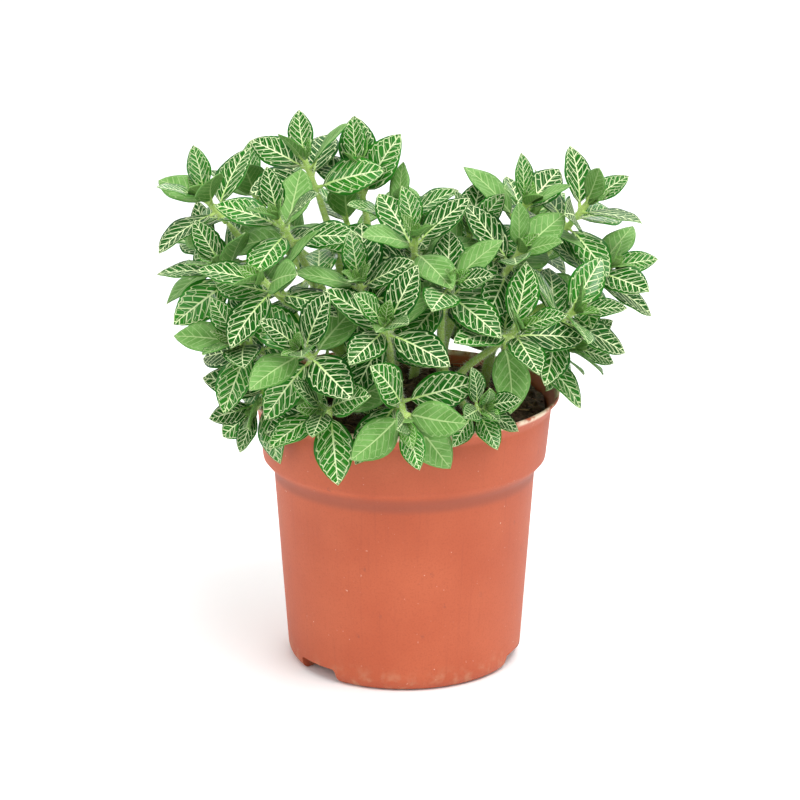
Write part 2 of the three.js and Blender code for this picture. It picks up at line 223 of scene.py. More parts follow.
def lathe(profile: Sequence[tuple[float, float]], segments: int, axis: Vector) -> bpy.types.Object:
    """Draws a circle up along a profile, ring by ring, and closes it on the axis at both ends.

    Args:
        profile: Radius and height of each ring, the first and last being the rims of flat discs.
        segments: Number of sides.
        axis: Where the axis of revolution stands.

    Returns:
        The closed object.
    """
    radius, height = profile[0]
    deselect_all()
    bpy.ops.mesh.primitive_circle_add(
        vertices=segments, radius=radius, fill_type="TRIFAN", location=(axis.x, axis.y, height)
    )
    made = bpy.context.active_object
    settle_in_place(made)
    middle = (axis.x, axis.y, 0.0)
    with editing(made):
        bpy.ops.mesh.select_mode(type="EDGE")
        bpy.ops.mesh.select_all(action="DESELECT")
        bpy.ops.mesh.select_non_manifold()
        for ring_radius, ring_height in profile[1:]:
            ratio = ring_radius / radius
            bpy.ops.mesh.extrude_region_move(
                TRANSFORM_OT_translate={"value": (0.0, 0.0, ring_height - height)}
            )
            bpy.ops.transform.resize(value=(ratio, ratio, 1.0), center_override=middle)
            radius, height = ring_radius, ring_height
        bpy.ops.mesh.merge(type="CENTER")
        bpy.ops.mesh.select_all(action="SELECT")
        bpy.ops.mesh.normals_make_consistent(inside=False)
    return made


def cut(obj: bpy.types.Object, cutter: bpy.types.Object) -> None:
    """Takes a cutter's shape out of an object and removes the cutter."""
    apply_modifier(obj, "BOOLEAN", operation="DIFFERENCE", solver="EXACT", object=cutter)
    bpy.data.objects.remove(cutter, do_unlink=True)


def outward(turn: float) -> Vector:
    """The level unit vector at an angle around the upright axis."""
    return Vector((math.cos(turn), math.sin(turn), 0.0))


def across(direction: Vector) -> Vector:
    """Any unit vector at right angles to a direction."""
    helper = Vector((0, 0, 1)) if abs(direction.z) < 0.9 else Vector((1, 0, 0))
    return direction.cross(helper).normalized()


# ---- Shader maths --------------------------------------------------------------------------------


class Wire:
    """A node's output that Python arithmetic turns into Math nodes."""

    def __init__(self, bench: Bench, socket: bpy.types.NodeSocket) -> None:
        self.bench = bench
        self.socket = socket

    def _math(self, operation: str, *values: Wire | float) -> Wire:
        """The Math node that works on these values."""
        return self.bench.node(
            "ShaderNodeMath", {"operation": operation}, dict(enumerate(values))
        )

    def __add__(self, other: Wire | float) -> Wire:
        """Sum."""
        return self._math("ADD", self, other)

    def __sub__(self, other: Wire | float) -> Wire:
        """Difference."""
        return self._math("SUBTRACT", self, other)

    def __rsub__(self, other: float) -> Wire:
        """Difference from a number."""
        return self._math("SUBTRACT", other, self)

    def __mul__(self, other: Wire | float) -> Wire:
        """Product."""
        return self._math("MULTIPLY", self, other)

    __radd__ = __add__
    __rmul__ = __mul__

    def __pow__(self, other: float) -> Wire:
        """Power."""
        return self._math("POWER", self, other)

    def __abs__(self) -> Wire:
        """Absolute value."""
        return self._math("ABSOLUTE", self)

    def sine(self) -> Wire:
        """Sine of an angle in radians."""
        return self._math("SINE", self)

    def fraction(self) -> Wire:
        """What is over a whole number."""
        return self._math("FRACT", self)

    def above(self, level: float) -> Wire:
        """One where the value is over a level, zero elsewhere."""
        return self._math("GREATER_THAN", self, level)

    def most(self, other: Wire | float) -> Wire:
        """The larger of two values."""
        return self._math("MAXIMUM", self, other)

    def angle_to(self, other: Wire) -> Wire:
        """The angle whose tangent is this value over the other."""
        return self._math("ARCTAN2", self, other)

    def ramp(self, low: float, high: float, start: float = 0.0, end: float = 1.0) -> Wire:
        """Runs smoothly from start to end as the value goes from low to high.

        Args:
            low: Value at which the result is start.
            high: Value at which the result is end.
            start: Result at low and before it.
            end: Result at high and beyond.

        Returns:
            The eased value.
        """
        return self.bench.node(
            "ShaderNodeMapRange",
            {"interpolation_type": "SMOOTHSTEP", "clamp": True},
            {"Value": self, "From Min": low, "From Max": high, "To Min": start, "To Max": end},
        )

    def fall(self, near: Wire | float, far: Wire | float) -> Wire:
        """One below near, zero beyond far, smooth between: a line drawn round a distance."""
        return self.bench.node(
            "ShaderNodeMapRange",
            {"interpolation_type": "SMOOTHSTEP", "clamp": True},
            {"Value": self, "From Min": near, "From Max": far, "To Min": 1.0, "To Max": 0.0},
        )


class Bench:
    """A material under construction."""

    def __init__(self, name: str) -> None:
        self.material = bpy.data.materials.new(name)
        self.material.use_nodes = True
        self.tree = self.material.node_tree
        self.tree.nodes.clear()

    def node(
        self,
        kind: str,
        settings: Mapping[str, object] | None = None,
        sockets: Mapping[str | int, object] | None = None,
        output: str | int = 0,
    ) -> Wire:
        """Adds a node.

        Args:
            kind: The node's type.
            settings: Its properties, set first.
            sockets: Values or wires for its inputs, by name or number.
            output: Which output the result stands for.

        Returns:
            A wire from that output.
        """
        made = self.tree.nodes.new(kind)
        for key, value in (settings or {}).items():
            setattr(made, key, value)
        for key, value in (sockets or {}).items():
            if isinstance(value, Wire):
                self.tree.links.new(value.socket, made.inputs[key])
            else:
                made.inputs[key].default_value = value
        return Wire(self, made.outputs[output] if len(made.outputs) else None)

    def mix(self, share: Wire | float, first: Wire | Colour, second: Wire | Colour) -> Wire:
        """A colour between two others.

        Args:
            share: How much of the second colour.
            first: Colour at share 0.
            second: Colour at share 1.

        Returns:
            The mixed colour.
        """
        pick = {6: first, 7: second}
        sockets = {k: v if isinstance(v, Wire) else (*v, 1.0) for k, v in pick.items()}
        return self.node("ShaderNodeMix", {"data_type": "RGBA"}, {0: share, **sockets}, 2)

    def place(self) -> tuple[Wire, Wire, Wire, Wire]:
        """The point in the object's own frame, and its X, Y and Z."""
        point = self.node("ShaderNodeTexCoord", output="Object")
        parts = self.node("ShaderNodeSeparateXYZ", sockets={0: point}).socket.node
        return (point, *(Wire(self, out) for out in parts.outputs))

    def pack(self, x: Wire | float, y: Wire | float, z: Wire | float = 0.0) -> Wire:
        """A vector from three values."""
        return self.node("ShaderNodeCombineXYZ", sockets={0: x, 1: y, 2: z})

    def cloud(self, point: Wire, scale: float, detail: float = 3.0, rough: float = 0.5) -> Wire:
        """Noise from 0 to 1 with a given number of features per metre."""
        return self.node(
            "ShaderNodeTexNoise",
            sockets={"Vector": point, "Scale": scale, "Detail": detail, "Roughness": rough},
        )

    def cells(
        self, point: Wire, scale: float, randomness: float, feature: str, output: str | int = 0
    ) -> Wire:
        """A flat pattern of cells.

        Args:
            point: Where it is looked up.
            scale: Cells per unit of length.
            randomness: How uneven the cells are, from 0 to 1.
            feature: What is measured, such as the distance to a cell's edge.
            output: Which output the result stands for.

        Returns:
            The pattern.
        """
        return self.node(
            "ShaderNodeTexVoronoi",
            {"voronoi_dimensions": "2D", "feature": feature},
            {"Vector": point, "Scale": scale, "Randomness": randomness},
            output,
        )

    def mark(self, name: str) -> Wire:
        """A number stored on the mesh's points."""
        return self.node("ShaderNodeAttribute", {"attribute_name": name}, output="Fac")

    def finish(
        self,
        colour: Wire | Colour,
        roughness: Wire | float,
        height: Wire | None = None,
        relief: float = 0.0,
        specular: float = 0.5,
        coat: Wire | None = None,
    ) -> bpy.types.Material:
        """Ends the material with its shader.

        Args:
            colour: Base colour.
            roughness: Roughness.
            height: Relief from 0 to 1.
            relief: Depth of that relief in metres.
            specular: Strength of the plain reflection.
            coat: Weight of a glossy film on top.

        Returns:
            The material.
        """
        sockets: dict[str | int, object] = {
            "Base Color": colour if isinstance(colour, Wire) else (*colour, 1.0),
            "Roughness": roughness,
            "Specular IOR Level": specular,
        }
        if height is not None:
            sockets["Normal"] = self.node(
                "ShaderNodeBump", sockets={"Distance": relief, "Strength": 1.0, "Height": height}
            )
        if coat is not None:
            sockets["Coat Weight"] = coat
            sockets["Coat Roughness"] = 0.18
        shader = self.node("ShaderNodeBsdfPrincipled", sockets=sockets)
        self.node("ShaderNodeOutputMaterial", sockets={"Surface": shader})
        return self.material


# ---- Finishes ------------------------------------------------------------------------------------


@dataclass(frozen=True)
class BladeVeins:
    """The net of veins on a leaf, in shares of the blade's length."""

    pairs: float = 7.0
    lean: float = 0.95
    curl: float = 1.8
    stagger: float = 0.35
    half_width: float = BLADE_ASPECT / 2.0
    cells: float = 8.0
    loop: float = 0.83

    def draw(self, bench: Bench) -> dict[str, Wire]:
        """Works the veins out from the leaf's UV map: X across from 0 to 1, Y from base to tip.

        Args:
            bench: The material.

        Returns:
            Wires by name: midrib, side and net veins from 0 to 1, and the place along the blade.
        """
        uv = bench.node("ShaderNodeUVMap", {"uv_map": "Blade"})
        parts = bench.node("ShaderNodeSeparateXYZ", sockets={0: uv}).socket.node
        x, u = (Wire(bench, parts.outputs[i]) for i in (0, 1))
        signed = 2.0 * x - 1.0
        edge = abs(signed)
        bulge = (u.most(0.001) ** BLADE_BEND * math.pi).sine().most(0.001)
        width = bulge ** BLADE_FULLNESS * self.half_width
        out = edge * width
        tone = bench.mark("tone")
        sway = bench.cloud(bench.pack(signed * width, u, tone * 7.0), 9.0, 1.0) - 0.5
        rank = (u - out * self.lean - out * out * self.curl + sway * 0.02) * self.pairs
        rank = rank + signed.above(0.0) * self.stagger
        from_side = abs(rank.fraction() - 0.5)
        side = (from_side + edge * 0.05).fall(0.065, 0.14) * edge.fall(0.78, 0.88)
        wave = (rank * (2.0 * math.pi)).sine()
        from_loop = abs(edge - (self.loop - 0.045 * wave)) * width
        loop = from_loop.fall(0.0025, 0.0085)
        mid = out.fall((1.0 - u) * 0.01 + 0.002, (1.0 - u) * 0.014 + 0.008)
        along = (u - out * self.lean) * 1.5
        place = bench.pack(signed * width + sway * 0.015, along + tone * 5.0)
        from_cell = bench.cells(place, self.cells, 0.8, "DISTANCE_TO_EDGE")
        net = from_cell.fall(0.016, 0.058) * edge.fall(0.8, 0.86)
        return {"mid": mid, "side": side.most(loop), "net": net, "along": u}


@dataclass(frozen=True)
class UpperFace:
    """The glossy green upper side of a leaf with its ivory net."""

    deep: Colour = (0.004, 0.075, 0.003)
    fresh: Colour = (0.022, 0.19, 0.01)
    young: Colour = (0.16, 0.42, 0.05)
    ivory: Colour = (0.8, 0.92, 0.52)
    lime: Colour = (0.5, 0.74, 0.2)
    veins: BladeVeins = BladeVeins()

    def make(self) -> bpy.types.Material:
        """Builds the material."""
        bench = Bench("leaf_upper")
        drawn = self.veins.draw(bench)
        tone, youth = bench.mark("tone"), bench.mark("youth")
        point = bench.place()[0]
        blotch = bench.cloud(point, 130.0, 2.0)
        green = bench.mix((blotch * 0.6 + tone * 0.7 - 0.15).ramp(0.1, 0.9), self.deep, self.fresh)
        green = bench.mix(youth * 0.85, green, self.young)
        line = drawn["side"].most(drawn["net"] * (0.42 + tone * 0.38))
        pale = bench.mix(bench.cloud(point, 420.0, 1.0).ramp(0.35, 0.7), self.ivory, self.lime)
        pale = bench.mix(tone.ramp(0.55, 1.0) * 0.55, self.ivory, pale)
        colour = bench.mix(line * (0.92 - youth * 0.25), green, pale)
        rib = bench.mix(drawn["along"].ramp(0.0, 0.5), self.lime, self.ivory)
        colour = bench.mix(drawn["mid"] * 0.9, colour, rib)
        puff = 1.0 - line.most(drawn["mid"])
        roughness = bench.cloud(point, 900.0, 2.0) * 0.12 + 0.3 + line * 0.1
        gloss = tone.ramp(0.7, 0.85) * bench.cloud(point, 90.0).ramp(0.4, 0.6)
        return bench.finish(colour, roughness, puff, 0.24 * MM, 0.12, coat=gloss * 0.8)


@dataclass(frozen=True)
class UnderFace:
    """The pale, matte underside of a leaf with raised veins."""

    pale: Colour = (0.16, 0.35, 0.085)
    moss: Colour = (0.1, 0.26, 0.045)
    young: Colour = (0.3, 0.52, 0.14)
    rib: Colour = (0.42, 0.6, 0.24)
    veins: BladeVeins = BladeVeins()

    def make(self) -> bpy.types.Material:
        """Builds the material."""
        bench = Bench("leaf_under")
        drawn = self.veins.draw(bench)
        point = bench.place()[0]
        green = bench.mix(bench.cloud(point, 160.0).ramp(0.3, 0.7), self.pale, self.moss)
        green = bench.mix(bench.mark("youth") * 0.5, green, self.young)
        line = (drawn["side"] * 0.55).most(drawn["net"] * 0.28).most(drawn["mid"])
        colour = bench.mix(line, green, self.rib)
        return bench.finish(colour, 0.58, line, 0.25 * MM, 0.22)


@dataclass(frozen=True)
class GreenStem:
    """Juicy pale green stems, browner where they leave the soil."""

    soil_line: float
    pale: Colour = (0.52, 0.7, 0.2)
    green: Colour = (0.36, 0.57, 0.13)
    woody: Colour = (0.36, 0.36, 0.14)

    def make(self) -> bpy.types.Material:
        """Builds the material."""
        bench = Bench("stem_green")
        point, _, _, z = bench.place()
        streak = bench.cloud(point, 220.0, 3.0)
        colour = bench.mix(streak.ramp(0.3, 0.72), self.pale, self.green)
        low = (z + bench.cloud(point, 60.0) * (14.0 * MM)).ramp(
            self.soil_line + 5.0 * MM, self.soil_line + 24.0 * MM, 0.75, 0.0
        )
        colour = bench.mix(low, colour, self.woody)
        grain = bench.cloud(point, 1500.0, 2.0)
        return bench.finish(colour, grain * 0.15 + 0.42, grain, 0.08 * MM, 0.3)


@dataclass(frozen=True)
class Down:
    """The fine white hairs on stems and stalks."""

    white: Colour = (0.9, 0.94, 0.82)
    green: Colour = (0.72, 0.82, 0.55)

    def make(self) -> bpy.types.Material:
        """Builds the material."""
        bench = Bench("stem_down")
        point = bench.place()[0]
        colour = bench.mix(bench.cloud(point, 300.0).ramp(0.4, 0.7), self.white, self.green)
        return bench.finish(colour, bench.cloud(point, 800.0) * 0.2 + 0.5)


@dataclass(frozen=True)
class PotPlastic:
    """Matte terracotta-coloured plastic: speckled, scuffed, chalky at the lip, dusty at the foot.

    Painted shade darkens the wall in the recess under the band, at the height of the step's foot, which is
    given when the finish is made.
    """

    axis: Vector
    height: float
    lip_radius: float
    painted_shade_height: float
    clay: Colour = (0.42, 0.078, 0.026)
    bright: Colour = (0.47, 0.10, 0.038)
    dull: Colour = (0.30, 0.058, 0.024)
    lime: Colour = (0.78, 0.66, 0.5)
    # Colour of the scuffs, also used for the painted shade under the band.
    scuff_and_shade_colour: Colour = (0.24, 0.06, 0.035)
    dust: Colour = (0.5, 0.3, 0.17)

    def make(self) -> bpy.types.Material:
        """Builds the material."""
        bench = Bench("pot_plastic")
        point, x, y, z = bench.place()
        x, y = x - self.axis.x, y - self.axis.y
        radius = (x * x + y * y) ** 0.5
        turn = y.angle_to(x)
        speckle = bench.cloud(point, 1400.0, 2.0, 0.7)
        patch = bench.cloud(point, 34.0, 3.0)
        colour = bench.mix(patch.ramp(0.25, 0.75), self.clay, self.bright)
        colour = bench.mix(speckle.ramp(0.45, 0.75) * 0.35, colour, self.dull)
        streak = bench.cloud(bench.pack(turn * 30.0, z * 22.0), 1.0, 3.0)
        colour = bench.mix(streak.ramp(0.55, 0.8) * 0.3, colour, self.dull)
        scuffs = self._scuffs(bench, turn, z)
        colour = bench.mix(scuffs * 0.55, colour, self.scuff_and_shade_colour)
        grit = bench.cloud(point, 800.0, 1.0).ramp(0.74, 0.8) * bench.cloud(point, 60.0).ramp(0.45, 0.62)
        colour = bench.mix(grit * 0.5, colour, self.lime)
        # Painted shade: the wall is darkened for a few mm around the step's foot with the scuff colour,
        # standing in for the band's shadow.
        under = z.ramp(self.painted_shade_height - 4.5 * MM, self.painted_shade_height - 1.5 * MM)
        under = under * z.ramp(self.painted_shade_height + 1.0 * MM, self.painted_shade_height + 4.5 * MM, 1.0, 0.0)
        colour = bench.mix(under * (0.45 + patch * 0.25), colour, self.scuff_and_shade_colour)
        at_lip = z.ramp(self.height - 3.2 * MM, self.height - 0.8 * MM)
        at_lip = at_lip * radius.ramp(self.lip_radius - 2.5 * MM, self.lip_radius - 1.0 * MM)
        chalk = bench.cloud(point, 95.0, 5.0, 0.65).ramp(0.43, 0.57) * at_lip
        colour = bench.mix(chalk * 0.85, colour, self.lime)
        low = z.ramp(0.0, 12.0 * MM, 1.0, 0.0) * bench.cloud(point, 240.0, 4.0).ramp(0.45, 0.75)
        colour = bench.mix(low * 0.5, colour, self.dust)
        roughness = 0.5 + speckle * 0.12 + chalk * 0.3 + patch * 0.08
        relief = speckle * 0.35 + chalk * 0.5 + bench.cloud(point, 260.0) * 0.3 - scuffs * 0.3
        return bench.finish(colour, roughness, relief, 0.12 * MM, 0.42)

    @staticmethod
    def _scuffs(bench: Bench, turn: Wire, z: Wire) -> Wire:
        """Short slanting rub marks, few and far between."""
        shift = bench.pack(turn * 3.4 + z * 26.0, z * 42.0 - turn * 1.1)
        cell = bench.cells(shift, 1.0, 1.0, "F1")
        kind = bench.cells(shift, 1.0, 1.0, "F1", "Color")
        chosen = bench.node("ShaderNodeSeparateXYZ", sockets={0: kind}).above(0.62)
        ragged = bench.cloud(bench.pack(turn * 90.0, z * 1400.0), 1.0, 3.0).ramp(0.4, 0.6)
        return cell.fall(0.02, 0.075) * chosen * ragged


@dataclass(frozen=True)
class Peat:
    """Dark, crumbly peat."""

    dark: Colour = (0.035, 0.02, 0.012)
    brown: Colour = (0.14, 0.08, 0.05)
    coir: Colour = (0.3, 0.19, 0.11)

    def make(self) -> bpy.types.Material:
        """Builds the material."""
        bench = Bench("peat")
        point = bench.place()[0]
        lump = bench.cloud(point, 420.0, 5.0, 0.65)
        colour = bench.mix(lump.ramp(0.35, 0.68), self.dark, self.brown)
        straw = bench.cloud(point, 950.0, 2.0).ramp(0.62, 0.72)
        colour = bench.mix(straw * 0.55, colour, self.coir)
        return bench.finish(colour, 0.85 + lump * 0.1, lump, 0.9 * MM, 0.25)


@dataclass(frozen=True)
class Fibre:
    """Tan root and coir fibres."""

    tan: Colour = (0.36, 0.2, 0.1)
    brown: Colour = (0.14, 0.07, 0.035)

    def make(self) -> bpy.types.Material:
        """Builds the material."""
        bench = Bench("root_fibre")
        point = bench.place()[0]
        colour = bench.mix(bench.cloud(point, 180.0, 3.0).ramp(0.3, 0.7), self.tan, self.brown)
        return bench.finish(colour, bench.cloud(point, 900.0) * 0.2 + 0.6)


# ---- Pot -----------------------------------------------------------------------------------------


@dataclass
class NurseryPot:
    """The thin-walled moulded pot with its flared lip, stepped band and drainage slots."""

    wall: float = 1.2 * MM
    lip_edge: float = 1.2 * MM
    lip_height: float = 6.0 * MM
    flare: float = 3.2 * MM
    band_taper: float = 1.8 * MM
    band_height: float = 25.0 * MM
    step_height: float = 5.0 * MM
    step_in: float = 4.2 * MM
    wall_taper: float = 4.8 * MM
    heel_height: float = 6.0 * MM
    heel_in: float = 3.6 * MM
    foot_width: float = 2.4 * MM
    floor_rise: float = 3.0 * MM
    floor_thickness: float = 1.5 * MM
    slots: tuple[float, ...] = (222.0, 342.0, 102.0)
    slot_span: float = 29.0
    slot_height: float = 5.5 * MM
    drains: int = 6
    drain_radius: float = 3.2 * MM
    drain_ring: float = 25.0 * MM
    segments: int = 144
    heel_steps: int = 6
    axis: Vector = field(init=False)
    height: float = field(init=False)
    lip_radius: float = field(init=False)

    def __post_init__(self) -> None:
        """Takes the pot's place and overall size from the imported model."""
        low, high = (Vector(corner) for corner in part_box("pot"))
        self.axis = (low + high) / 2.0
        self.axis.z = 0.0
        self.height = high.z
        self.lip_radius = (high.x - low.x) / 2.0

    def build(self) -> bpy.types.Object:
        """Models the pot.

        Returns:
            The pot, which stands for its CAD node.
        """
        pot = lathe(self._profile(), self.segments, self.axis)
        for degrees in self.slots:
            cut(pot, self._slot_cutter(math.radians(degrees)))
        for number in range(self.drains):
            cut(pot, self._drain_cutter(2.0 * math.pi * number / self.drains))
        pot.name = pot.data.name = "nursery_pot"
        # The step's foot, where the pot's finish paints shade under the band.
        painted_shade_height = self.height - self.band_height - self.step_height
        plastic = PotPlastic(self.axis, self.height, self.lip_radius, painted_shade_height).make()
        pot.data.materials.append(plastic)
        slot_faces(pot, 0)
        shade(pot, 32.0)
        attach(pot, "root")
        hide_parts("pot")
        LOG.info("pot: %d faces", len(pot.data.polygons))
        return pot

    def _outside(self) -> list[tuple[float, float]]:
        """The outer wall from above the heel to under the lip's edge, with its soft corners."""
        band_top = self.lip_radius - self.flare
        band_foot = band_top - self.band_taper
        wall_top = band_foot - self.step_in
        wall_foot = wall_top - self.wall_taper
        step_top = self.height - self.band_height
        step_foot = step_top - self.step_height
        flare_foot = self.height - self.lip_height
        points = [(wall_foot, self.heel_height)]
        for share in (0.25, 0.5, 0.75):
            rise = self.heel_height + (step_foot - self.heel_height) * share
            points.append((wall_foot + self.wall_taper * share, rise))
        points += [
            (wall_top - 0.1 * MM, step_foot - 1.5 * MM),
            (wall_top + 0.05 * MM, step_foot - 0.4 * MM),
            (wall_top + 0.5 * MM, step_foot + 0.5 * MM),
            (band_foot - 0.7 * MM, step_top - 0.9 * MM),
            (band_foot - 0.15 * MM, step_top - 0.2 * MM),
            (band_foot, step_top + 0.6 * MM),
        ]
        for share in (0.3, 0.65):
            rise = step_top + (flare_foot - step_top) * share
            points.append((band_foot + self.band_taper * share, rise))
        points += [
            (band_top - 0.05 * MM, flare_foot - 0.9 * MM),
            (band_top - 0.15 * MM, flare_foot - 0.2 * MM),
            (band_top + 0.1 * MM, flare_foot + 0.5 * MM),
        ]
        for share in (0.35, 0.6, 0.8, 0.93):
            reach = self.flare * share**1.7
            points.append((band_top + reach, flare_foot + (self.lip_height - self.lip_edge) * share))
        return points

    def _heel(self, inset: float) -> list[tuple[float, float]]:
        """The rounded corner from the foot ring up to the wall."""
        wall_foot = self._outside()[0][0]
        foot = wall_foot - self.heel_in
        points = []
        for step in range(self.heel_steps + 1):
            turn = step / self.heel_steps * math.pi / 2.0
            rise = self.heel_height * (1.0 - math.cos(turn))
            points.append((foot - inset + self.heel_in * math.sin(turn), rise))
        return points

    def _profile(self) -> list[tuple[float, float]]:
        """The whole closed section: under the floor, round the outside, over the lip, down inside."""
        outside = self._outside()
        floor_top = self.floor_rise + self.floor_thickness
        foot = self._heel(0.0)[0][0]
        inner = [(r - self.wall, z) for r, z in reversed(outside)]
        inner_heel = [p for p in reversed(self._heel(self.wall)) if floor_top < p[1]][1:]
        lip, top = self.lip_radius, self.height
        return [
            (foot - self.foot_width - 0.6 * MM, self.floor_rise),
            (foot - self.foot_width, self.floor_rise - 0.6 * MM),
            (foot - self.foot_width, 0.4 * MM),
            (foot - self.foot_width + 0.4 * MM, 0.0),
            *self._heel(0.0),
            *outside[1:],
            (lip - 0.1 * MM, top - self.lip_edge),
            (lip, top - 0.75 * self.lip_edge),
            (lip, top - 0.3 * MM),
            (lip - 0.3 * MM, top),
            (lip - self.wall + 0.3 * MM, top),
            (lip - self.wall, top - 0.35 * MM),
            *inner,
            *inner_heel,
            (foot - self.wall, floor_top),
        ]

    def _slot_cutter(self, turn: float) -> bpy.types.Object:
        """The block that opens the foot ring, heel and floor's edge at one slot."""
        foot = self._heel(0.0)[0][0]
        inner = foot - self.foot_width - 1.2 * MM
        outer = foot + 2.0 * self.heel_in
        width = 2.0 * foot * math.sin(math.radians(self.slot_span / 2.0))
        deselect_all()
        bpy.ops.mesh.primitive_cube_add(size=1.0)
        block = bpy.context.active_object
        block.scale = (outer - inner, width, 2.0 * self.slot_height)
        settle_in_place(block)
        with editing(block):
            bpy.ops.mesh.select_mode(type="FACE")
            bpy.ops.mesh.select_all(action="DESELECT")
        for face in block.data.polygons:
            face.select = face.normal.z > 0.9
        with editing(block):
            bpy.ops.transform.resize(value=(1.0, 0.9, 1.0), center_override=(0.0, 0.0, 0.0))
            bpy.ops.mesh.bevel(offset=1.4 * MM, segments=3)
        middle = (inner + outer) / 2.0
        block.location = self.axis + outward(turn) * middle
        block.rotation_euler = (0.0, 0.0, turn)
        settle_in_place(block)
        return block

    def _drain_cutter(self, turn: float) -> bpy.types.Object:
        """The round bar that opens one drain hole in the floor."""
        deselect_all()
        place = self.axis + outward(turn) * self.drain_ring
        bpy.ops.mesh.primitive_cylinder_add(
            vertices=28, radius=self.drain_radius, depth=12.0 * MM, location=place
        )
        bar = bpy.context.active_object
        settle_in_place(bar)
        return bar


# ---- Root ball -----------------------------------------------------------------------------------


@dataclass
class RootBall:
    """Peat full of roots, with a loose, crumbly top."""

    pot: NurseryPot
    voxel: float = 1.25 * MM
    crumbs: int = 900
    clods: int = 90
    fibres: int = 170
    fibre_steps: int = 6
    crumb_size: tuple[float, float] = (0.35, 1.1)  # least and most radius, in mm
    clod_size: tuple[float, float] = (1.2, 2.9)
    top_depth: float = 7.0 * MM  # skin nearer the lip's height than this is the loose top
    crumb_room: float = 6.2 * MM  # kept free of crumbs inside the lip's outer edge
    fibre_room: float = 5.2 * MM
    seed: int = 7
    dice: random.Random = field(init=False)

    def __post_init__(self) -> None:
        """Starts the dice."""
        self.dice = random.Random(self.seed)

    def build(self, node: bpy.types.Object) -> bpy.types.Object:
        """Models the peat, then strews crumbs, clods and fibres over it.

        Args:
            node: The root ball's CAD node.

        Returns:
            The finished root ball.
        """
        ball = object_of(merged_copy(node), "root_ball_peat")
        voxel_skin(ball, self.voxel, 1)
        self._roughen(ball)
        slot_faces(ball, 0)
        tree = BVHTree.FromObject(ball, bpy.context.evaluated_depsgraph_get())
        strewn = [self._crumb(tree, *self.crumb_size) for _ in range(self.crumbs)]
        strewn += [self._crumb(tree, *self.clod_size) for _ in range(self.clods)]
        crumbs = join([one for one in strewn if one], "crumbs")
        slot_faces(crumbs, 0)
        fibres = self._fibres(tree)
        slot_faces(fibres, 1)
        ball.data.materials.append(Peat().make())
        ball.data.materials.append(Fibre().make())
        for part in (crumbs, fibres):
            for material in ball.data.materials:
                part.data.materials.append(material)
        whole = join([ball, crumbs, fibres], "root_ball_peat")
        shade(whole, 60.0)
        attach(whole, "root")
        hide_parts("root_ball")
        LOG.info("root ball: %d faces", len(whole.data.polygons))
        return whole

    def _roughen(self, ball: bpy.types.Object) -> None:
        """Pushes the skin in and out in lumps, more on top than against the pot."""
        top = self.pot.height - self.top_depth

        def shift(place: Vector, normal: Vector) -> Vector:
            """How far one point of the skin moves."""
            lump = noise.noise(place * 160.0) + 0.55 * noise.noise(place * 420.0)
            if place.z > top:
                return Vector((0.0, 0.0, 1.5 * MM * lump))
            return normal * (0.25 * MM * lump - 0.3 * MM)

        press(ball, shift)

    def _drop(self, tree: BVHTree) -> Vector | None:
        """A point on the peat's top under a random place inside the lip."""
        turn = self.dice.uniform(0.0, 2.0 * math.pi)
        reach = (self.pot.lip_radius - self.crumb_room) * math.sqrt(self.dice.random())
        start = self.pot.axis + Vector((math.cos(turn) * reach, math.sin(turn) * reach, 0.3))
        return tree.ray_cast(start, Vector((0.0, 0.0, -1.0)))[0]

    def _crumb(self, tree: BVHTree, least: float, most: float) -> bpy.types.Object | None:
        """One lump of peat lying on the surface."""
        spot = self._drop(tree)
        if spot is None:
            return None
        radius = self.dice.uniform(least, most) * MM
        shape = bmesh.new()
        bmesh.ops.create_icosphere(shape, subdivisions=1 if radius < 1.2 * MM else 2, radius=radius)
        away = Vector(self.dice.uniform(0.0, 50.0) for _ in range(3))
        squash = Matrix.Diagonal([self.dice.uniform(0.6, 1.25) for _ in range(3)])
        for vertex in shape.verts:
            swell = 1.0 + 0.45 * noise.noise(vertex.co / radius * 1.2 + away)
            vertex.co = spot + squash @ vertex.co * swell
        return object_of(shape, "crumb")

    def _fibres(self, tree: BVHTree) -> bpy.types.Object:
        """Thin curved fibres, some lying on the peat and some standing out of it."""
        shape = bmesh.new()
        for _ in range(self.fibres):
            spot = self._drop(tree)
            if spot is None:
                continue
            turn = self.dice.uniform(0.0, 2.0 * math.pi)
            heading = Vector((math.cos(turn), math.sin(turn), self.dice.uniform(-0.1, 0.5)))
            length = self.dice.uniform(3.0, 12.0) * MM
            bend = self.dice.uniform(-1.0, 1.0)
            path = []
            for step in range(self.fibre_steps + 1):
                share = step / self.fibre_steps
                swing = heading.copy()
                swing.rotate(Quaternion((0, 0, 1), bend * share))
                lift = Vector((0, 0, 0.6 * MM * math.sin(share * math.pi)))
                path.append(spot + swing * (length * share) + lift)
            reach = [(p - self.pot.axis).to_2d().length for p in path]
            if max(reach) < self.pot.lip_radius - self.fibre_room:
                strand(shape, path, self.dice.uniform(0.12, 0.32) * MM, 4)
        return object_of(shape, "fibres")


def corner_ring(
    shape: bmesh.types.BMesh, middle: Vector, one: Vector, other: Vector, radius: float, sides: int
) -> list[bmesh.types.BMVert]:
    """Adds the corners of a flat ring around a point, in the plane of two directions."""
    turns = [2.0 * math.pi * k / sides for k in range(sides)]
    return [
        shape.verts.new(middle + one * (radius * math.cos(turn)) + other * (radius * math.sin(turn)))
        for turn in turns
    ]


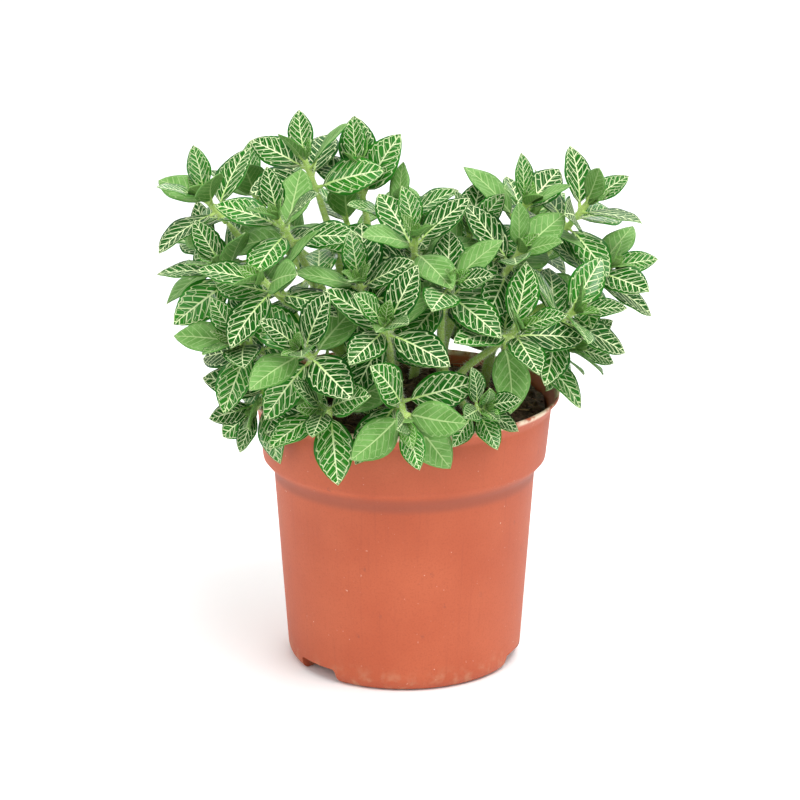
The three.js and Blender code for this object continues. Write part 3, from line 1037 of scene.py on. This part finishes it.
def strand(
    shape: bmesh.types.BMesh, path: Sequence[Vector], radius: float, sides: int, tip: float = 0.35
) -> None:
    """Adds a closed thin tube along a path.

    Args:
        shape: The bmesh to add to.
        path: Points along the middle.
        radius: Radius at the start.
        sides: Number of sides.
        tip: Radius at the end as a share of the first.
    """
    rings = []
    for index, point in enumerate(path):
        before, after = path[max(index - 1, 0)], path[min(index + 1, len(path) - 1)]
        direction = (after - before).normalized()
        one = across(direction)
        other = direction.cross(one)
        here = radius * (1.0 + (tip - 1.0) * index / (len(path) - 1))
        rings.append(corner_ring(shape, point, one, other, here, sides))
    for lower, upper in zip(rings, rings[1:]):
        for k in range(sides):
            shape.faces.new((lower[k], lower[(k + 1) % sides], upper[(k + 1) % sides], upper[k]))
    shape.faces.new(list(reversed(rings[0])))
    shape.faces.new(rings[-1])


# ---- Stems ---------------------------------------------------------------------------------------


@dataclass
class Stems:
    """The branching stems with their down of white hairs."""

    soil_line: float
    voxel: float = 0.55 * MM
    hair_length: tuple[float, float] = (0.7 * MM, 2.0 * MM)
    hair_radius: float = 0.06 * MM
    hairs_per_area: float = 2.6 / MM**2
    seed: int = 11
    green: bpy.types.Material = field(init=False)
    down: bpy.types.Material = field(init=False)

    def __post_init__(self) -> None:
        """Mixes the two finishes."""
        self.green = GreenStem(self.soil_line).make()
        self.down = Down().make()

    def build(self, name: str, node: bpy.types.Object, seed: int) -> bpy.types.Object:
        """Models one branching stem.

        Args:
            name: Name of the CAD node.
            node: Its object.
            seed: Seed of this stem's own dice.

        Returns:
            The stem, which stands for its CAD node.
        """
        stem = object_of(merged_copy(node), f"{name}_skin")
        apply_modifier(stem, "SUBSURF", levels=2, render_levels=2, subdivision_type="CATMULL_CLARK")
        press(stem, lambda place, normal: normal * 0.28 * MM)
        voxel_skin(stem, self.voxel, 3)
        press(stem, lambda place, normal: normal * (0.16 * MM * noise.noise(place * 260.0)))
        slot_faces(stem, 0)
        hairs = self.hairs(stem, random.Random(self.seed + seed), self.hairs_per_area)
        whole = join([stem, hairs], f"{name}_green")
        shade(whole)
        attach(whole, "root")
        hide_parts(name)
        LOG.info("%s: %d faces", name, len(whole.data.polygons))
        return whole

    def hairs(
        self, skin: bpy.types.Object, dice: random.Random, density: float
    ) -> bpy.types.Object:
        """Grows hairs out of a skin and gives both their materials.

        Args:
            skin: The object whose faces in slot 0 carry hairs.
            dice: Where chance comes from.
            density: Hairs per square metre.

        Returns:
            The hairs as one object.
        """
        shape = bmesh.new()
        for face in skin.data.polygons:
            if face.material_index or face.center.z < self.soil_line:
                continue
            expected = face.area * density
            count = int(expected) + (dice.random() < expected - int(expected))
            for _ in range(count):
                self._hair(shape, face.center, face.normal, dice)
        grown = object_of(shape, "hairs")
        for part in (skin, grown):
            if not part.data.materials:
                part.data.materials.append(self.green)
                part.data.materials.append(self.down)
        slot_faces(grown, 1)
        return grown

    def _hair(
        self, shape: bmesh.types.BMesh, spot: Vector, normal: Vector, dice: random.Random
    ) -> None:
        """Adds one hair: a three-sided spike."""
        stray = Vector(dice.uniform(-0.55, 0.55) for _ in range(3))
        direction = (Vector(normal) + stray).normalized()
        side = across(direction)
        other = direction.cross(side)
        root = Vector(spot) - direction * 0.1 * MM
        tip = shape.verts.new(root + direction * dice.uniform(*self.hair_length))
        foot = corner_ring(shape, root, side, other, self.hair_radius, 3)
        for k in range(3):
            shape.faces.new((foot[k], foot[(k + 1) % 3], tip))
        shape.faces.new(list(reversed(foot)))


# ---- Leaves --------------------------------------------------------------------------------------


class Growth(Enum):
    """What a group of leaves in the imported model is."""

    SHOOT_TIP = "shoot_tip"
    OLDER_LEAVES = "older_leaves"


@dataclass(frozen=True)
class LeafPlan:
    """Where one blade lies: its foot, its own axes, its length and how much its tip droops."""

    foot: Vector
    along: Vector
    side: Vector
    upper: Vector
    length: float
    arch: float
    youth: float = 0.0
    fold: float = 0.2


@dataclass(frozen=True)
class LeafReader:
    """Finds the leaves in a CAD node from the sections that its blades are lofted through."""

    stations: tuple[float, float, float] = (0.14, 0.46, 0.8)
    sharp: float = math.radians(230.0)

    def read(self, shape: bmesh.types.BMesh) -> list[tuple[LeafPlan, list[list[bmesh.types.BMVert]]]]:
        """Lists a node's leaves.

        Args:
            shape: The node's sewn mesh.

        Returns:
            Each leaf's plan, and the vertices of its tip and sections, tip first.
        """
        found = []
        for tip in shape.verts:
            if len(tip.link_edges) != 4 or self._angle(tip) > self.sharp:
                continue
            rings = self._rings(tip)
            if rings:
                found.append((self._plan(tip, rings), [[tip], *rings]))
        return found

    @staticmethod
    def _angle(vertex: bmesh.types.BMVert) -> float:
        """Sum of the corners that meet at a vertex."""
        return sum(loop.calc_angle() for loop in vertex.link_loops)

    @staticmethod
    def _rings(tip: bmesh.types.BMVert) -> list[list[bmesh.types.BMVert]]:
        """The blade's three sections, found by walking down from its tip."""
        seen, ring, rings = {tip}, [tip], []
        for _ in range(3):
            near = {e.other_vert(v) for v in ring for e in v.link_edges} - seen
            if len(near) != 4:
                return []
            ring = sorted(near, key=lambda v: v.index)
            seen |= near
            rings.append(ring)
        return rings

    def _plan(
        self, tip: bmesh.types.BMVert, rings: list[list[bmesh.types.BMVert]]
    ) -> LeafPlan:
        """Works a leaf's axes, length and droop out from its sections."""
        first, second, middle, keel = self._section(rings[2])
        upper = (middle - keel).normalized()
        side = second - first
        side = (side - upper * side.dot(upper)).normalized()
        along = side.cross(upper)
        if (tip.co - middle).dot(along) < 0.0:
            side, along = -side, -along
        u = self.stations[0]
        run, rise = (tip.co - middle).dot(along), (tip.co - middle).dot(upper)
        droop = -rise / (1.0 - u * u)
        length = (run + 0.5 * droop * (1.0 - u * u)) / (1.0 - u)
        foot = middle - along * (length * u - 0.5 * droop * u * u) + upper * (droop * u * u)
        return LeafPlan(foot, along, side, upper, length, droop / length)

    @staticmethod
    def _section(ring: Sequence[bmesh.types.BMVert]) -> tuple[Vector, Vector, Vector, Vector]:
        """A section's two edges, its upper midrib and its keel."""
        places = [v.co.copy() for v in ring]
        pairs = [(a, b) for i, a in enumerate(places) for b in places[i + 1:]]
        first, second = max(pairs, key=lambda pair: (pair[0] - pair[1]).length)
        chord = (first + second) / 2.0
        rest = sorted(
            (p for p in places if p not in (first, second)), key=lambda p: (p - chord).length
        )
        return first, second, rest[0], rest[1]


@dataclass
class Foliage:
    """Every leaf, petiole and growing tip."""

    stems: Stems
    aspect: float = BLADE_ASPECT
    thickness: float = 0.32 * MM
    petiole: float = 3.2 * MM
    cells_across: int = 6
    cells_along: int = 12
    stub_voxel: float = 0.34 * MM
    hairs_per_area: float = 1.3 / MM**2
    turned_share: float = 0.16
    newest: tuple[tuple[float, float, float], ...] = ((11.0, 27.0, 0.55), (6.5, 15.0, 1.0))
    reader: LeafReader = field(default_factory=LeafReader)
    upper: bpy.types.Material = field(init=False)
    under: bpy.types.Material = field(init=False)
    master: bpy.types.Object = field(init=False)
    leaves: int = 0

    def __post_init__(self) -> None:
        """Mixes the finishes and models the one flat blade that all others are copies of."""
        self.upper = UpperFace().make()
        self.under = UnderFace().make()
        deselect_all()
        bpy.ops.mesh.primitive_grid_add(
            x_subdivisions=self.cells_across, y_subdivisions=self.cells_along, size=2.0
        )
        self.master = bpy.context.active_object
        with editing(self.master):
            bpy.ops.mesh.select_all(action="SELECT")
            bpy.ops.transform.translate(value=(0.0, 1.0, 0.0))
            bpy.ops.transform.resize(value=(1.0, 0.5, 1.0), center_override=(0.0, 0.0, 0.0))
        self.master.data.uv_layers[0].name = "Blade"

    def build(self, kind: Growth, name: str, node: bpy.types.Object, seed: int) -> bpy.types.Object:
        """Models the leaves of one CAD node with the stalk that carries them.

        Args:
            kind: What the node is.
            name: Its name.
            node: Its object.
            seed: Seed of this group's own dice.

        Returns:
            The group, which stands for its CAD node.
        """
        dice = random.Random(1000 + seed)
        shape = merged_copy(node)
        shape.verts.index_update()
        read = self.reader.read(shape)
        plans = [plan for plan, _ in read]
        wood = self._stalk_points(shape, read)
        if kind is Growth.SHOOT_TIP:
            plans += self._growing_tip(wood, plans, dice)
        blades = [self._blade(plan, dice) for plan in plans]
        stalk = self._stalk(shape, read)
        slot_faces(stalk, 0)
        stalk.data.materials.append(self.stems.green)
        stalk.data.materials.append(self.stems.down)
        hairs = self.stems.hairs(stalk, dice, self.hairs_per_area)
        leaves = join(blades, f"{name}_blades")
        for material in (self.under, self.upper, self.upper, self.under):
            leaves.data.materials.append(material)
        slots = [0] * len(leaves.data.polygons)
        leaves.data.attributes["first_slot"].data.foreach_get("value", slots)
        leaves.data.polygons.foreach_set("material_index", slots)
        apply_modifier(
            leaves, "SOLIDIFY", thickness=self.thickness, offset=-1.0, material_offset=1
        )
        whole = join([stalk, hairs, leaves], f"{name}_foliage")
        shade(whole)
        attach(whole, "root")
        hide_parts(name)
        self.leaves += len(plans)
        LOG.info("%s: %d leaves, %d faces", name, len(plans), len(whole.data.polygons))
        return whole

    def clear(self) -> None:
        """Takes the master blade out of the scene."""
        bpy.data.objects.remove(self.master, do_unlink=True)

    def _blade(self, plan: LeafPlan, dice: random.Random) -> bpy.types.Object:
        """Bends a copy of the master blade to its plan."""
        blade = self.master.copy()
        blade.data = self.master.data.copy()
        bpy.context.collection.objects.link(blade)
        phase, ripple = dice.uniform(0.0, 6.28), dice.uniform(0.1, 0.32) * MM
        wide = self.aspect * dice.uniform(0.94, 1.04)
        sway = dice.uniform(-0.5, 0.5) * MM
        for vertex in blade.data.vertices:
            v, u = vertex.co.x, min(max(vertex.co.y, 0.0), 1.0)
            vertex.co = self._point(plan, wide, u, v)
            wave = ripple * math.sin(4.5 * math.pi * u + phase + v) * abs(v) ** 2
            vertex.co += plan.upper * wave + plan.side * (sway * math.sin(math.pi * u))
        tone = dice.random()
        for key, value in (("tone", tone), ("youth", plan.youth)):
            stored = blade.data.attributes.new(key, "FLOAT", "POINT")
            stored.data.foreach_set("value", [value] * len(blade.data.vertices))
        # Slots 0 and 1 show the veined side up, slots 2 and 3 the plain one.
        turned = dice.random() < self.turned_share and not plan.youth
        first = blade.data.attributes.new("first_slot", "INT", "FACE")
        first.data.foreach_set("value", [2 if turned else 0] * len(blade.data.polygons))
        return blade

    @staticmethod
    def _point(plan: LeafPlan, wide: float, u: float, v: float) -> Vector:
        """The point on a blade's upper side at share u along and v across it."""
        swell = max(math.sin(math.pi * u**BLADE_BEND), 0.0) ** BLADE_FULLNESS
        half = 0.5 * wide * plan.length * swell
        cup = plan.fold * half * (abs(v) ** 1.3 - 0.35 * abs(v) ** 4)
        droop = plan.arch * plan.length * u * u
        return (
            plan.foot
            + plan.along * (plan.length * u * (1.0 - 0.5 * plan.arch * u))
            + plan.side * (half * v)
            + plan.upper * (cup - droop)
        )

    @staticmethod
    def _stalk_points(shape: bmesh.types.BMesh, read: list) -> list[Vector]:
        """The points of a node's mesh that belong to no blade."""
        taken = {v for _, rings in read for ring in rings for v in ring}
        return [v.co.copy() for v in shape.verts if v not in taken]

    def _stalk(self, shape: bmesh.types.BMesh, read: list) -> bpy.types.Object:
        """The stalk or collar and the petioles, melted into one another."""
        for plan, rings in read:
            foot_ring = rings[3]
            middle = plan.foot + plan.along * (0.12 * plan.length) - plan.upper * 0.3 * MM
            for vertex in foot_ring:
                away = vertex.co - middle
                vertex.co = (
                    middle
                    + plan.side * math.copysign(min(abs(away.dot(plan.side)), 0.3 * MM), away.dot(plan.side))
                    + plan.upper * max(min(away.dot(plan.upper), 0.1 * MM), -0.3 * MM)
                )
            bmesh.ops.delete(shape, geom=[v for ring in rings[:3] for v in ring], context="VERTS")
        bmesh.ops.holes_fill(shape, edges=[e for e in shape.edges if e.is_boundary], sides=8)
        bmesh.ops.recalc_face_normals(shape, faces=shape.faces)
        stalk = object_of(shape, "stalk")
        voxel_skin(stalk, self.stub_voxel, 2)
        return stalk

    def _growing_tip(
        self, wood: Sequence[Vector], plans: Sequence[LeafPlan], dice: random.Random
    ) -> list[LeafPlan]:
        """The newest leaves, nearly upright: each pair's length in mm, lean in degrees and youth."""
        axis, top = self._stalk_end(wood, plans)
        turn = dice.uniform(0.0, math.pi)
        made = []
        for length, lean, youth in self.newest:
            turn += math.pi / 2.0
            for half in (0.0, math.pi):
                out = across(axis)
                out.rotate(Quaternion(axis, turn + half))
                tilt = math.radians(lean * dice.uniform(0.8, 1.25))
                along = axis * math.cos(tilt) + out * math.sin(tilt)
                side = along.cross(axis).normalized() if tilt else across(along)
                upper = along.cross(side)
                if upper.dot(axis) < 0.0:
                    side, upper = -side, -upper
                foot = top - axis * 0.8 * MM + out * 0.5 * MM
                size = length * MM * dice.uniform(0.85, 1.15)
                made.append(LeafPlan(foot, along, side, upper, size, 0.05, youth, 0.45))
        return made

    @staticmethod
    def _stalk_end(wood: Sequence[Vector], plans: Sequence[LeafPlan]) -> tuple[Vector, Vector]:
        """The stalk's direction and the middle of its upper end."""
        centre = sum(wood, Vector()) / len(wood)
        direction = sum((plan.along for plan in plans), Vector()).normalized()
        for _ in range(30):
            direction = sum(((p - centre) * (p - centre).dot(direction) for p in wood), Vector())
            direction.normalize()
        if sum(plan.along.dot(direction) for plan in plans) < 0.0:
            direction = -direction
        reach = max((p - centre).dot(direction) for p in wood)
        return direction, centre + direction * reach


# ---- Studio --------------------------------------------------------------------------------------


@dataclass
class Studio:
    """A pale floor, soft light and the camera."""

    pot: NurseryPot
    distance: float = 1.05
    elevation: float = 17.0
    lens: float = 122.0
    aim_height: float = 102.8 * MM
    aim_side: float = -1.7 * MM
    lamp_aim: float = 0.12
    room_light: float = 0.88

    def build(self) -> None:
        """Sets the stage."""
        self._floor()
        self._world()
        middle = self.pot.axis + Vector((0.0, 0.0, self.lamp_aim))
        self._lamp("key", middle, Vector((0.4, -0.6, 1.4)), 1.15, 24.0)
        self._lamp("fill", middle, Vector((-1.1, -0.9, 0.7)), 1.2, 4.0)
        self._lamp("rim", middle, Vector((0.3, 1.1, 1.0)), 1.0, 7.0)
        self._camera()

    def _camera(self) -> None:
        """Stands the camera in front of the pot, looking slightly down."""
        lens = bpy.data.cameras.new("camera")
        lens.lens = self.lens
        lens.sensor_width = 36.0
        lens.clip_start = 0.05
        eye = bpy.data.objects.new("camera", lens)
        bpy.context.collection.objects.link(eye)
        aim = self.pot.axis + Vector((self.aim_side, 0.0, self.aim_height))
        tilt = math.radians(self.elevation)
        away = Vector((0.0, -math.cos(tilt), math.sin(tilt)))
        eye.location = aim + away * self.distance
        eye.rotation_euler = (-away).to_track_quat("-Z", "Y").to_euler()
        bpy.context.scene.camera = eye

    @staticmethod
    def _lamp(name: str, aim: Vector, away: Vector, size: float, power: float) -> None:
        """Hangs a square soft light that faces the plant."""
        lamp = bpy.data.lights.new(name, "AREA")
        lamp.size = size
        lamp.energy = power
        hung = bpy.data.objects.new(name, lamp)
        bpy.context.collection.objects.link(hung)
        hung.location = aim + away
        hung.rotation_euler = (-away).to_track_quat("-Z", "Y").to_euler()

    def _world(self) -> None:
        """Fills the room with even white light."""
        world = bpy.data.worlds.new("room")
        world.use_nodes = True
        background = world.node_tree.nodes["Background"]
        background.inputs["Color"].default_value = (1.0, 1.0, 1.0, 1.0)
        background.inputs["Strength"].default_value = self.room_light
        scene = bpy.context.scene
        scene.world = world
        scene.view_settings.view_transform = "Standard"

    def _floor(self) -> None:
        """Lays the floor."""
        deselect_all()
        bpy.ops.mesh.primitive_plane_add(size=12.0, location=(0.0, 0.0, -0.0002))
        floor = bpy.context.active_object
        floor.name = "floor"
        bench = Bench("floor_pale")
        point = bench.place()[0]
        colour = bench.mix(bench.cloud(point, 3.0), (0.955, 0.965, 0.97), (0.965, 0.975, 0.98))
        floor.data.materials.append(bench.finish(colour, 0.7))


# ---- Putting it together -------------------------------------------------------------------------


def main() -> None:
    """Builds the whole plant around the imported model."""
    logging.basicConfig(level=logging.INFO, format="%(name)s: %(message)s")
    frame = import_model()
    nodes = frame["nodes"]
    pot = NurseryPot()
    Studio(pot).build()
    pot.build()
    RootBall(pot).build(nodes["root_ball"])
    stems = Stems(pot.height - SOIL_DROP)
    for seed, name in enumerate(sorted(n for n in nodes if n.startswith("stem_"))):
        stems.build(name, nodes[name], seed)
    foliage = Foliage(stems)
    for kind in Growth:
        for seed, name in enumerate(sorted(n for n in nodes if n.startswith(kind.value))):
            foliage.build(kind, name, nodes[name], seed)
    foliage.clear()
    LOG.info("%d leaves in all", foliage.leaves)


if __name__ == "__main__":
    main()
